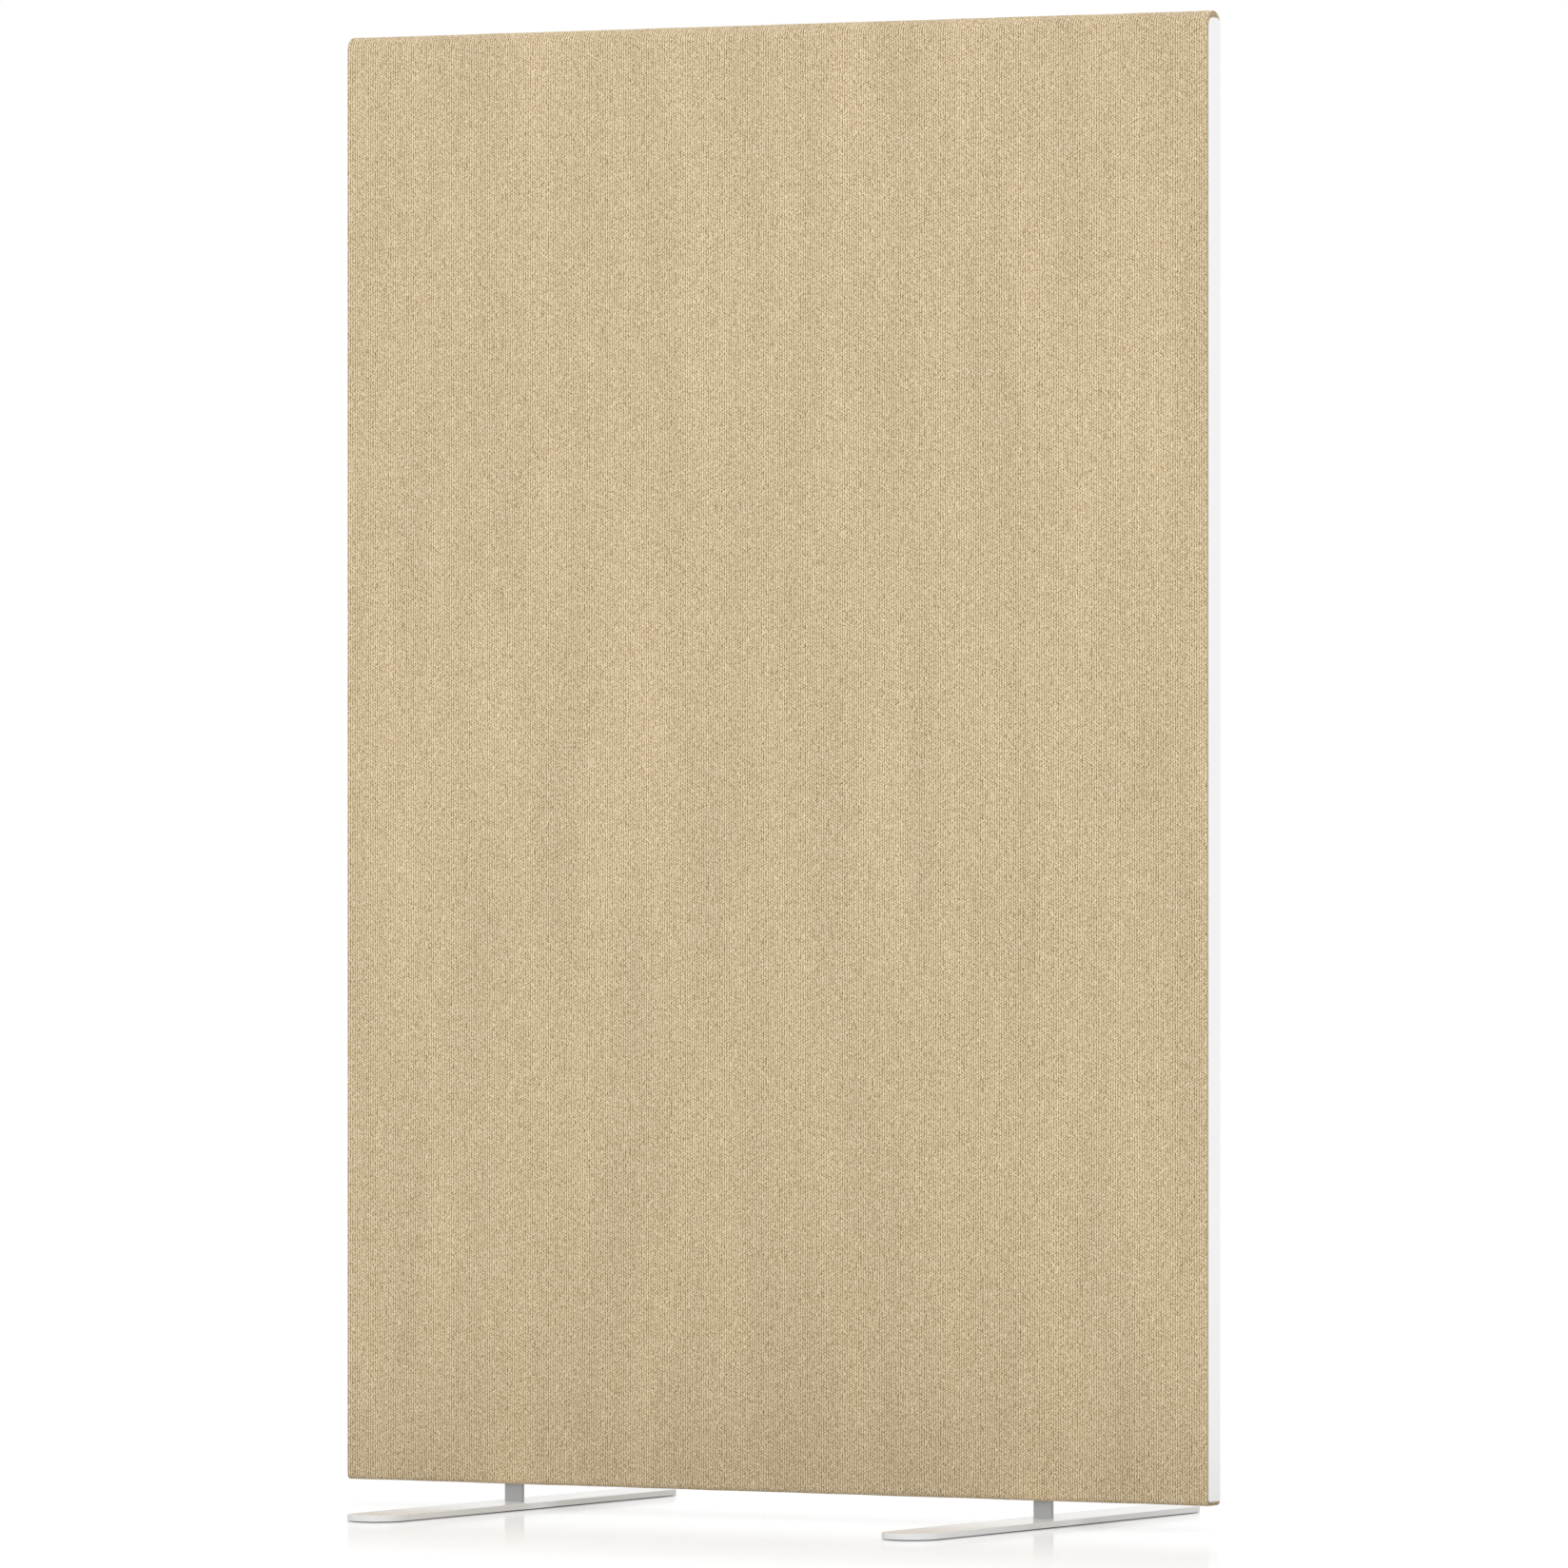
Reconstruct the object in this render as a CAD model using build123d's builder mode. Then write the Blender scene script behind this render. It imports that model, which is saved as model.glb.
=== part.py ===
from build123d import *
import os

# Free-standing acoustic screen: a cloth-covered panel on two flat feet.
# Millimetres. The origin is on the floor under the middle of the panel.
# +Z is up, X runs along the panel and -Y is the front.

# panel
overall_width = 1000.0  # over the two edge strips
overall_height = 1500.0
panel_thickness = 27.0  # over the cloth
floor_gap = 25.0  # floor to the underside of the cloth
bottom_edge_radius = 6.0
layer_clearance = 0.1  # between frame, wadding and cloth
cut_overrun = 1.0

# cloth and wadding
cloth_thickness = 1.0
end_fold_radius = 1.5
fold_gap = 5.0  # between the two folds on each end
wadding_thickness = 3.3

# timber frame and absorbers
rail_height = 60.0
stile_width = 60.0
middle_rail_height = 60.0
dowel_radius = 4.0
dowel_length = 60.0
dowel_side_clearance = 0.1
dowel_end_clearance = 1.0
dowel_place_shares = (0.25, 0.65)  # across a stile, from its inner edge
middle_dowel_place_shares = (0.28, 0.72)  # up the middle rail
absorber_clearance = 0.3

# edge strips
strip_cap_thickness = 1.0
strip_side_margin = 1.7  # cloth left showing beside the strip
strip_top_margin = 7.3
strip_bottom_margin = 4.2
strip_top_radius = 8.0
strip_bottom_radius = 2.5
strip_edge_radius = 0.7
tongue_thickness = 2.0
tongue_depth = 9.0
tongue_end_margin = 14.0  # tongue shorter than the cap at each end
barb_height = 0.2
barb_length = 2.0
barb_place_shares = (0.3, 0.65)  # down the tongue
groove_side_clearance = 0.3
groove_end_clearance = 1.0

# staples
staple_crown = 10.0
staple_leg = 8.0
staple_wire_width = 1.2
staple_wire_thickness = 0.6
staple_row_share = 0.75  # row's place in half the frame's thickness
hem_staple_pitch = 55.0
end_staple_pitch = 120.0
end_staple_margin = 30.0  # last staple from the strip's end

# feet
foot_length = 590.0
foot_width = 60.0
foot_thickness = 6.0
foot_edge_radius = 0.4
foot_inset = 193.0  # end of the screen to the middle of the foot
foot_pad_radius = 18.0
foot_pad_thickness = 0.9

# posts
post_width = 20.0
post_thickness = 5.0
post_plate_length = 90.0
post_plate_width = 13.0
post_plate_thickness = 3.5
post_plate_corner_radius = 3.0
plate_clearance = 0.5
tenon_width = 12.0
tenon_clearance = 0.2
tenon_head_lip = 1.0
tenon_head_thickness = 1.2
tenon_head_recess = 0.3  # riveted head above the foot's underside

# screws and inserts
screw_radius = 2.5
screw_length = 16.0
screw_head_radius = 5.0
screw_head_height = 2.6
screw_socket_radius = 1.7
screw_socket_depth = 1.6
screw_clearance = 0.2
post_screw_spacing = 64.0
insert_radius = 4.0
insert_length = 12.0
insert_clearance = 0.1
insert_hole_extra_depth = 4.0

# places worked out from the sizes above
half_panel = panel_thickness / 2
cloth_end = overall_width / 2 - strip_cap_thickness
frame_end = cloth_end - cloth_thickness - layer_clearance
wadding_outer = half_panel - cloth_thickness - layer_clearance
wadding_inner = wadding_outer - wadding_thickness
half_frame = wadding_inner - layer_clearance
frame_bottom = floor_gap + cloth_thickness + layer_clearance
wadding_top = overall_height - cloth_thickness - layer_clearance
frame_top = wadding_top - wadding_thickness - layer_clearance
inner_bottom_radius = bottom_edge_radius - cloth_thickness
bottom_rail_top = frame_bottom + rail_height
top_rail_bottom = frame_top - rail_height
middle_height = (bottom_rail_top + top_rail_bottom) / 2
middle_rail_bottom = middle_height - middle_rail_height / 2
middle_rail_top = middle_height + middle_rail_height / 2
stile_inner = frame_end - stile_width
strip_bottom = floor_gap + strip_bottom_margin
strip_top = overall_height - strip_top_margin
tongue_bottom = strip_bottom + tongue_end_margin
tongue_top = strip_top - tongue_end_margin
tongue_middle = (tongue_bottom + tongue_top) / 2
foot_place = overall_width / 2 - foot_inset
foot_top = foot_pad_thickness + foot_thickness
pad_place = foot_length / 2 - foot_width / 2
plate_top = floor_gap + post_plate_thickness
pocket_top = plate_top + layer_clearance

sides = (("left", -1), ("right", 1))
down = (0, 0, -1)

os.makedirs("parts", exist_ok=True)


def save(piece, name):
    piece.label = name
    export_step(piece, f"parts/{name}.step")


def end_view(half_thickness, bottom, top, bottom_radius=0):
    # flat sides, a half-round top and, where a radius is given, rounded lower edges
    shoulder = top - half_thickness
    corners = (
        (-half_thickness, shoulder),
        (-half_thickness, bottom),
        (half_thickness, bottom),
        (half_thickness, shoulder),
    )
    with BuildSketch() as view:
        with BuildLine():
            if bottom_radius:
                FilletPolyline(*corners, radius=bottom_radius)
            else:
                Polyline(*corners)
            ThreePointArc((half_thickness, shoulder), (0, top), (-half_thickness, shoulder))
        make_face()
    return view.sketch


def spread(low, high, pitch):
    # even places from low to high, about one pitch apart
    steps = max(1, round((high - low) / pitch))
    return [low + (high - low) * step / steps for step in range(steps + 1)]


# Staples. In each sketch X runs along the crown and Y into the panel.

hem_planes = [
    Plane(origin=(x, 0, floor_gap), x_dir=(1, 0, 0), z_dir=(0, -1, 0))
    for x in spread(-cloth_end + end_staple_margin, cloth_end - end_staple_margin, hem_staple_pitch)
    if abs(abs(x) - foot_place) > (post_plate_length + staple_crown) / 2 + plate_clearance
]
staple_row = staple_row_share * half_frame
end_planes = [
    Plane(origin=(side * cloth_end, row * staple_row, z), x_dir=(0, 0, 1), z_dir=(0, -side, 0))
    for _, side in sides
    for row in (-1, 1)
    for z in spread(strip_bottom + end_staple_margin, strip_top - end_staple_margin, end_staple_pitch)
]
leg_place = (staple_crown - staple_wire_thickness) / 2

with BuildSketch() as staple_view:
    with Locations((0, staple_wire_thickness / 2)):
        Rectangle(staple_crown, staple_wire_thickness)
    with Locations((-leg_place, staple_leg / 2), (leg_place, staple_leg / 2)):
        Rectangle(staple_wire_thickness, staple_leg)

with BuildPart() as hem_staples:
    with BuildSketch(*hem_planes):
        add(staple_view.sketch)
    extrude(amount=staple_wire_width / 2, both=True)
save(hem_staples.part, "hem_staples")

with BuildPart() as end_staples:
    with BuildSketch(*end_planes):
        add(staple_view.sketch)
    extrude(amount=staple_wire_width / 2, both=True)
save(end_staples.part, "end_staples")


# Dowels: two in each corner joint, upright, and two in each end of the middle rail.

corner_dowel_places = [
    (side * (stile_inner + share * stile_width), 0, joint)
    for _, side in sides
    for share in dowel_place_shares
    for joint in (bottom_rail_top, top_rail_bottom)
]
middle_dowel_places = [
    (side * stile_inner, 0, middle_rail_bottom + share * middle_rail_height)
    for _, side in sides
    for share in middle_dowel_place_shares
]
dowel_hole_radius = dowel_radius + dowel_side_clearance
dowel_hole_length = dowel_length + 2 * dowel_end_clearance

with BuildPart() as frame_dowels:
    with Locations(*corner_dowel_places):
        Cylinder(dowel_radius, dowel_length)
    with Locations(*middle_dowel_places):
        Cylinder(dowel_radius, dowel_length, rotation=(0, 90, 0))
save(frame_dowels.part, "frame_dowels")

with BuildPart() as frame_holes:
    with Locations(*corner_dowel_places):
        Cylinder(dowel_hole_radius, dowel_hole_length)
    with Locations(*middle_dowel_places):
        Cylinder(dowel_hole_radius, dowel_hole_length, rotation=(0, 90, 0))

# The grooves for the strips' tongues, along the stiles and into the rails' ends.
groove_width = tongue_thickness + 2 * (barb_height + groove_side_clearance)
groove_floor = cloth_end - tongue_depth - groove_end_clearance
groove_length = tongue_top - tongue_bottom + 2 * groove_end_clearance
groove_mouth = frame_end + cut_overrun

with BuildPart() as end_grooves:
    for _, side in sides:
        with Locations((side * (groove_floor + groove_mouth) / 2, 0, tongue_middle)):
            Box(groove_mouth - groove_floor, groove_width, groove_length)


# Timber frame.


def cut_frame_holes():
    # holes that the frame's pieces share, cut in whichever piece is being made
    add(frame_holes.part, mode=Mode.SUBTRACT)
    add(end_grooves.part, mode=Mode.SUBTRACT)
    add(end_staples.part, mode=Mode.SUBTRACT)


foot_centres = [(side * foot_place, 0) for _, side in sides]
screw_centres = [
    (side * foot_place + end * post_screw_spacing / 2, 0) for _, side in sides for end in (-1, 1)
]

with BuildPart() as bottom_rail:
    with BuildSketch(Plane.YZ):
        add(end_view(wadding_outer, frame_bottom, wadding_top, inner_bottom_radius))
        with Locations((0, (frame_bottom + bottom_rail_top) / 2)):
            Rectangle(2 * half_frame, rail_height, mode=Mode.INTERSECT)
    extrude(amount=frame_end, both=True)
    with BuildSketch(Plane.XY.offset(frame_bottom)):
        with Locations(*foot_centres):
            Rectangle(post_plate_length + 2 * plate_clearance, post_plate_width + 2 * plate_clearance)
    extrude(amount=pocket_top - frame_bottom, mode=Mode.SUBTRACT)
    with BuildSketch(Plane.XY.offset(pocket_top)):
        with Locations(*screw_centres):
            Circle(insert_radius + insert_clearance)
    extrude(amount=insert_length + insert_hole_extra_depth, mode=Mode.SUBTRACT)
    add(hem_staples.part, mode=Mode.SUBTRACT)
    cut_frame_holes()
save(bottom_rail.part, "bottom_rail")

with BuildPart() as top_rail:
    with BuildSketch(Plane.YZ):
        add(end_view(half_frame, top_rail_bottom, frame_top))
    extrude(amount=frame_end, both=True)
    cut_frame_holes()
save(top_rail.part, "top_rail")

with BuildPart() as middle_rail:
    with Locations((0, 0, middle_height)):
        Box(2 * stile_inner, 2 * half_frame, middle_rail_height)
    cut_frame_holes()
save(middle_rail.part, "middle_rail")

for name, side in sides:
    with BuildPart() as stile:
        with Locations((side * (stile_inner + frame_end) / 2, 0, (bottom_rail_top + top_rail_bottom) / 2)):
            Box(stile_width, 2 * half_frame, top_rail_bottom - bottom_rail_top)
        cut_frame_holes()
    save(stile.part, f"{name}_stile")


# Absorbing boards that fill the frame's two bays.

for name, low, high in (
    ("lower_absorber", bottom_rail_top, middle_rail_bottom),
    ("upper_absorber", middle_rail_top, top_rail_bottom),
):
    with BuildPart() as absorber:
        with Locations((0, 0, (low + high) / 2)):
            Box(
                2 * (stile_inner - absorber_clearance),
                2 * half_frame,
                high - low - 2 * absorber_clearance,
            )
    save(absorber.part, name)


# Wadding: one mat over the front, the top edge and the back.

with BuildPart() as wadding:
    with BuildSketch(Plane.YZ):
        add(end_view(wadding_outer, frame_bottom, wadding_top, inner_bottom_radius))
    extrude(amount=frame_end, both=True)
    with BuildSketch(Plane.YZ):
        add(end_view(wadding_inner, frame_bottom - cut_overrun, wadding_top - wadding_thickness))
    extrude(amount=frame_end + cut_overrun, both=True, mode=Mode.SUBTRACT)
save(wadding.part, "wadding")


# Cloth: a sleeve round the padded frame, folded onto the ends up to a gap
# that the strip's tongue passes through, and open below for the post plates.

cloth_inside = (
    half_panel - cloth_thickness,
    floor_gap + cloth_thickness,
    overall_height - cloth_thickness,
)

with BuildPart() as fabric_cover:
    with BuildSketch(Plane.YZ):
        add(end_view(half_panel, floor_gap, overall_height, bottom_edge_radius))
    extrude(amount=cloth_end, both=True)
    ends = fabric_cover.faces().filter_by(Axis.X)
    fillet(ends.edges(), end_fold_radius)
    with BuildSketch(Plane.YZ):
        add(end_view(*cloth_inside, inner_bottom_radius))
    extrude(amount=cloth_end - cloth_thickness, both=True, mode=Mode.SUBTRACT)
    for _, side in sides:
        with Locations((side * cloth_end, 0, tongue_middle)):
            Box(2 * (cloth_thickness + cut_overrun), fold_gap, groove_length, mode=Mode.SUBTRACT)
    with BuildSketch(Plane.XY.offset(floor_gap - cut_overrun)):
        with Locations(*foot_centres):
            Rectangle(post_plate_length + 2 * plate_clearance, post_plate_width + 2 * plate_clearance)
    extrude(amount=cloth_thickness + 2 * cut_overrun, mode=Mode.SUBTRACT)
    add(hem_staples.part, mode=Mode.SUBTRACT)
    add(end_staples.part, mode=Mode.SUBTRACT)
save(fabric_cover.part, "fabric_cover")


# Edge strips: a thin cap with rounded corners and a barbed tongue behind it.

strip_half_width = half_panel - strip_side_margin
strip_middle = (strip_bottom + strip_top) / 2

for name, side in sides:
    with BuildPart() as strip:
        with BuildSketch(Plane.YZ.offset(side * cloth_end)) as cap_outline:
            with Locations((0, strip_middle)):
                Rectangle(2 * strip_half_width, strip_top - strip_bottom)
            fillet(cap_outline.vertices().group_by(Axis.Y)[-1], strip_top_radius)
            fillet(cap_outline.vertices().group_by(Axis.Y)[0], strip_bottom_radius)
        extrude(amount=side * strip_cap_thickness)
        outer_face = strip.faces().sort_by(Axis.X)[-1 if side > 0 else 0]
        fillet(outer_face.edges(), min(strip_edge_radius, strip_cap_thickness / 2))
        with Locations((side * (cloth_end - tongue_depth / 2), 0, tongue_middle)):
            Box(tongue_depth, tongue_thickness, tongue_top - tongue_bottom)
        with BuildSketch(Plane.XY.offset(tongue_bottom)):
            with BuildLine():
                for share in barb_place_shares:
                    root = cloth_end - share * tongue_depth
                    Polyline(
                        (side * root, -tongue_thickness / 2 - barb_height),
                        (side * root, tongue_thickness / 2 + barb_height),
                        (side * (root - barb_length), tongue_thickness / 2),
                        (side * (root - barb_length), -tongue_thickness / 2),
                        close=True,
                    )
            make_face()
        extrude(amount=tongue_top - tongue_bottom)
    save(strip.part, f"{name}_edge_strip")


# Feet: flat bars with full-round ends, slotted for the post's tenon.

tenon_slot_width = tenon_width + 2 * tenon_clearance
tenon_slot_depth = post_thickness + 2 * tenon_clearance
head_pocket_height = tenon_head_recess + tenon_head_thickness + tenon_clearance

for name, side in sides:
    with BuildPart() as foot:
        with BuildSketch(Plane.XY.offset(foot_pad_thickness)):
            with Locations((side * foot_place, 0)):
                SlotOverall(foot_length, foot_width, rotation=90)
        extrude(amount=foot_thickness)
        fillet(foot.faces().filter_by(Axis.Z).edges(), foot_edge_radius)
        with BuildSketch(Plane.XY.offset(foot_pad_thickness)):
            with Locations((side * foot_place, 0)):
                Rectangle(tenon_slot_width, tenon_slot_depth)
        extrude(amount=foot_thickness, mode=Mode.SUBTRACT)
        with BuildSketch(Plane.XY.offset(foot_pad_thickness)):
            with Locations((side * foot_place, 0)):
                Rectangle(tenon_slot_width + 2 * tenon_head_lip, tenon_slot_depth + 2 * tenon_head_lip)
        extrude(amount=head_pocket_height, mode=Mode.SUBTRACT)
    save(foot.part, f"{name}_foot")

    with BuildPart() as foot_pads:
        with Locations(
            (side * foot_place, -pad_place, foot_pad_thickness / 2),
            (side * foot_place, pad_place, foot_pad_thickness / 2),
        ):
            Cylinder(foot_pad_radius, foot_pad_thickness)
    save(foot_pads.part, f"{name}_foot_pads")


# Posts: a top plate let into the underside, a flat post, and a riveted tenon.

head_bottom = foot_pad_thickness + tenon_head_recess

for name, side in sides:
    with BuildPart() as post:
        with BuildSketch(Plane.XY.offset(floor_gap)):
            with Locations((side * foot_place, 0)):
                RectangleRounded(post_plate_length, post_plate_width, post_plate_corner_radius)
        extrude(amount=post_plate_thickness)
        with BuildSketch(Plane.XY.offset(foot_top)):
            with Locations((side * foot_place, 0)):
                Rectangle(post_width, post_thickness)
        extrude(amount=floor_gap - foot_top)
        with BuildSketch(Plane.XY.offset(head_bottom)):
            with Locations((side * foot_place, 0)):
                Rectangle(tenon_width, post_thickness)
        extrude(amount=foot_top - head_bottom)
        with BuildSketch(Plane.XY.offset(head_bottom)):
            with Locations((side * foot_place, 0)):
                Rectangle(tenon_width + 2 * tenon_head_lip, post_thickness + 2 * tenon_head_lip)
        extrude(amount=tenon_head_thickness)
        for end in (-1, 1):
            hole = (side * foot_place + end * post_screw_spacing / 2, 0, floor_gap)
            with Locations(Plane(origin=hole, z_dir=down)):
                CounterSinkHole(screw_radius + screw_clearance, screw_head_radius + screw_clearance)
    save(post.part, f"{name}_post")


# Screws, driven up from below, and the threaded inserts that take them.

standing = (Align.CENTER, Align.CENTER, Align.MIN)

with BuildPart() as post_screws:
    with Locations(*[(x, y, floor_gap) for x, y in screw_centres]):
        Cone(screw_head_radius, screw_radius, screw_head_height, align=standing)
        Cylinder(screw_radius, screw_length, align=standing)
    with BuildSketch(Plane.XY.offset(floor_gap)):
        with Locations(*screw_centres):
            RegularPolygon(screw_socket_radius, 6)
    extrude(amount=screw_socket_depth, mode=Mode.SUBTRACT)
save(post_screws.part, "post_screws")

with BuildPart() as threaded_inserts:
    with BuildSketch(Plane.XY.offset(pocket_top)):
        with Locations(*screw_centres):
            Circle(insert_radius)
            Circle(screw_radius + insert_clearance, mode=Mode.SUBTRACT)
    extrude(amount=insert_length)
save(threaded_inserts.part, "threaded_inserts")
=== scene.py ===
import math

import bpy
import numpy as np
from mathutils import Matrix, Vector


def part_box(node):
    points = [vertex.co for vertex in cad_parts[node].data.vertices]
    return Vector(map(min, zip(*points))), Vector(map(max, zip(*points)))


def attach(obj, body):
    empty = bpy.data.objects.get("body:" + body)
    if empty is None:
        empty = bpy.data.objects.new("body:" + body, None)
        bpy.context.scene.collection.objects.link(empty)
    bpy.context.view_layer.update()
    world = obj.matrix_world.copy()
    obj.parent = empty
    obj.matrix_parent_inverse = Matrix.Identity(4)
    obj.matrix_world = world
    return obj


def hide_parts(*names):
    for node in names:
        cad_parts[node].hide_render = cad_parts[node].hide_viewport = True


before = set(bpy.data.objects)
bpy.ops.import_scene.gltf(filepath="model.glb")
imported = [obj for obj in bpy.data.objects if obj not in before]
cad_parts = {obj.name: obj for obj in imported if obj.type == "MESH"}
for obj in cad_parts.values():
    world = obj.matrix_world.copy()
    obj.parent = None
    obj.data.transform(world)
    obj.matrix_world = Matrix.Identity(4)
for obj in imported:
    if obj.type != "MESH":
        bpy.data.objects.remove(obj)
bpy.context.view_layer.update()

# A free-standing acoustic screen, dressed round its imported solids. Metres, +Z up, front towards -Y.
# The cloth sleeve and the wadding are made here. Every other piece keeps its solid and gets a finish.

mm = 0.001
scene = bpy.context.scene
print("frame loaded:", len(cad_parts), "pieces")


# Node helpers

noiseRange = (0.3, 0.7)  # where soft noise mostly lies


def addNode(tree, kind, sockets=None, **settings):
    # one node: its settings, then for each socket a plain value or the output that feeds it
    made = tree.nodes.new(kind)
    for name, value in settings.items():
        setattr(made, name, value)
    for name, value in (sockets or {}).items():
        if isinstance(value, bpy.types.NodeSocket):
            tree.links.new(value, made.inputs[name])
        else:
            made.inputs[name].default_value = value
    return made


def calc(tree, operation, *values):
    # what one Math node gives
    return addNode(tree, "ShaderNodeMath", dict(enumerate(values)), operation=operation).outputs[0]


def rescale(tree, value, fromLow, fromHigh, toLow, toHigh):
    # a value carried from one range to another, and held inside it
    sockets = {0: value, 1: fromLow, 2: fromHigh, 3: toLow, 4: toHigh}
    return addNode(tree, "ShaderNodeMapRange", sockets).outputs[0]


def stretch(tree, place, factors):
    # coordinates scaled along each axis
    return addNode(tree, "ShaderNodeMapping", {"Vector": place, "Scale": factors}).outputs[0]


def noise(tree, place, factors, detail=2.0):
    # soft noise, with its own scale along each axis
    sockets = {"Vector": stretch(tree, place, factors), "Scale": 1.0, "Detail": detail}
    return addNode(tree, "ShaderNodeTexNoise", sockets).outputs["Fac"]


def mixed(tree, amount, first, second):
    # the mix of two colours
    sockets = {0: amount, 6: first, 7: second}
    return addNode(tree, "ShaderNodeMix", sockets, data_type="RGBA").outputs[2]


def shaded(tree, colour, value):
    # a colour multiplied by a value
    sockets = {0: colour, "Scale": value}
    return addNode(tree, "ShaderNodeVectorMath", sockets, operation="SCALE").outputs[0]


def raised(tree, height, distance):
    # the normal of a surface that stands that many metres proud where the height is 1
    return addNode(tree, "ShaderNodeBump", {"Height": height, "Distance": distance}).outputs[0]


def objectPlace(tree):
    return addNode(tree, "ShaderNodeTexCoord").outputs["Object"]


def startMaterial(name, plain):
    # a Principled material, with the plain values on the shader's own sockets
    material = bpy.data.materials.new(name)
    material.use_nodes = True
    tree = material.node_tree
    tree.nodes.clear()
    shader = addNode(tree, "ShaderNodeBsdfPrincipled", plain)
    addNode(tree, "ShaderNodeOutputMaterial", {"Surface": shader.outputs[0]})
    return material, tree, shader


def feed(tree, shader, **outputs):
    # outputs joined to the shader's sockets, as in baseColor=..., roughness=..., normal=...
    names = {"baseColor": "Base Color", "roughness": "Roughness", "normal": "Normal"}
    for name, output in outputs.items():
        tree.links.new(output, shader.inputs[names[name]])


def startGroup(name, inputs, outputs):
    # a node group; inputs and outputs are given as (name, kind of socket)
    group = bpy.data.node_groups.new(name, "ShaderNodeTree")
    for socketName, kind in inputs:
        group.interface.new_socket(name=socketName, in_out="INPUT", socket_type="NodeSocket" + kind)
    for socketName, kind in outputs:
        group.interface.new_socket(name=socketName, in_out="OUTPUT", socket_type="NodeSocket" + kind)
    return group, group.nodes.new("NodeGroupInput").outputs


def useGroup(tree, group, sockets):
    return addNode(tree, "ShaderNodeGroup", sockets, node_tree=group).outputs


# Effects that several finishes share

def makeDrift():
    # slow change over a surface: a value from 1 - Spread to 1 + Spread
    inputs = [("Place", "Vector"), ("Scale", "Float"), ("Spread", "Float")]
    group, given = startGroup("slowDrift", inputs, [("Value", "Float")])
    sockets = {"Vector": given["Place"], "Scale": given["Scale"], "Detail": 3.0}
    field = addNode(group, "ShaderNodeTexNoise", sockets).outputs["Fac"]
    low = calc(group, "SUBTRACT", 1.0, given["Spread"])
    high = calc(group, "ADD", 1.0, given["Spread"])
    addNode(group, "NodeGroupOutput", {"Value": rescale(group, field, *noiseRange, low, high)})
    return group


def makePeel():
    # the low pebbles of sprayed powder paint, as a height from 0 to 1
    group, given = startGroup("powderPeel", [("Place", "Vector"), ("Size", "Float")], [("Height", "Float")])
    scale = calc(group, "DIVIDE", 1.0, given["Size"])
    sockets = {"Vector": given["Place"], "Scale": scale, "Smoothness": 1.0}
    pebbles = addNode(group, "ShaderNodeTexVoronoi", sockets, feature="SMOOTH_F1").outputs["Distance"]
    addNode(group, "NodeGroupOutput", {"Height": calc(group, "SUBTRACT", 1.0, pebbles)})
    return group


grainValues = {
    "bend": (9.0, 9.0, 1.2),  # slow bends of the rings, to a metre along each axis
    "rings": (26.0, 40.0, 1.5),
    "distortion": 1.5,
    "pores": (1600.0, 1600.0, 45.0),
    "ringShare": 0.6,  # of the colour's change; the pores give the rest
    "poreShare": 0.4,
}


def makeGrain():
    # timber: rings drawn out along the grain's Z, fine pores between them
    v = grainValues
    inputs = [("Place", "Vector"), ("Light", "Color"), ("Dark", "Color")]
    group, given = startGroup("woodGrain", inputs, [("Color", "Color"), ("Height", "Float")])
    bend = noise(group, given["Place"], v["bend"], 3.0)
    bent = addNode(group, "ShaderNodeVectorMath", {0: given["Place"], 1: bend}, operation="ADD").outputs[0]
    ringPlace = stretch(group, bent, v["rings"])
    sockets = {"Vector": ringPlace, "Scale": 1.0, "Distortion": v["distortion"], "Detail": 2.0}
    rings = addNode(group, "ShaderNodeTexWave", sockets, wave_type="BANDS", bands_direction="X")
    pores = noise(group, given["Place"], v["pores"])
    ringPart = calc(group, "MULTIPLY", rings.outputs["Fac"], v["ringShare"])
    amount = calc(group, "ADD", ringPart, calc(group, "MULTIPLY", pores, v["poreShare"]))
    colour = mixed(group, amount, given["Light"], given["Dark"])
    addNode(group, "NodeGroupOutput", {"Color": colour, "Height": pores})
    return group


def makeFibres():
    # matted fibres: the higher of two long thin noises that cross each other
    inputs = [("Place", "Vector"), ("Length", "Float")]
    group, given = startGroup("mattedFibres", inputs, [("Value", "Float")])
    place = shaded(group, given["Place"], calc(group, "DIVIDE", 1.0, given["Length"]))
    first = noise(group, place, (1.0, 6.0, 9.0), 3.0)
    second = noise(group, place, (9.0, 6.0, 1.0), 3.0)
    addNode(group, "NodeGroupOutput", {"Value": calc(group, "MAXIMUM", first, second)})
    return group


drift, peel, grain, fibres = makeDrift(), makePeel(), makeGrain(), makeFibres()
fibreRange = (0.4, 0.8)  # where the matted fibres' value mostly lies
print("shared effects made")

drifts = {  # patches to a metre, and how far each goes from the mean
    "paintShade": (9.0, 0.015),
    "paintGloss": (30.0, 0.08),
    "strip": (6.0, 0.01),
    "metal": (120.0, 0.05),
}

reliefs = {  # height of each finish's fine relief
    "paint": 0.04 * mm,
    "strip": 0.02 * mm,
    "timber": 0.05 * mm,
    "felt": 0.3 * mm,
    "metal": 0.01 * mm,
    "rubber": 0.05 * mm,
}


def drifting(tree, place, kind):
    # the slow change that a finish carries
    scale, spread = drifts[kind]
    return useGroup(tree, drift, {"Place": place, "Scale": scale, "Spread": spread})[0]


# Cloth

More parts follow.
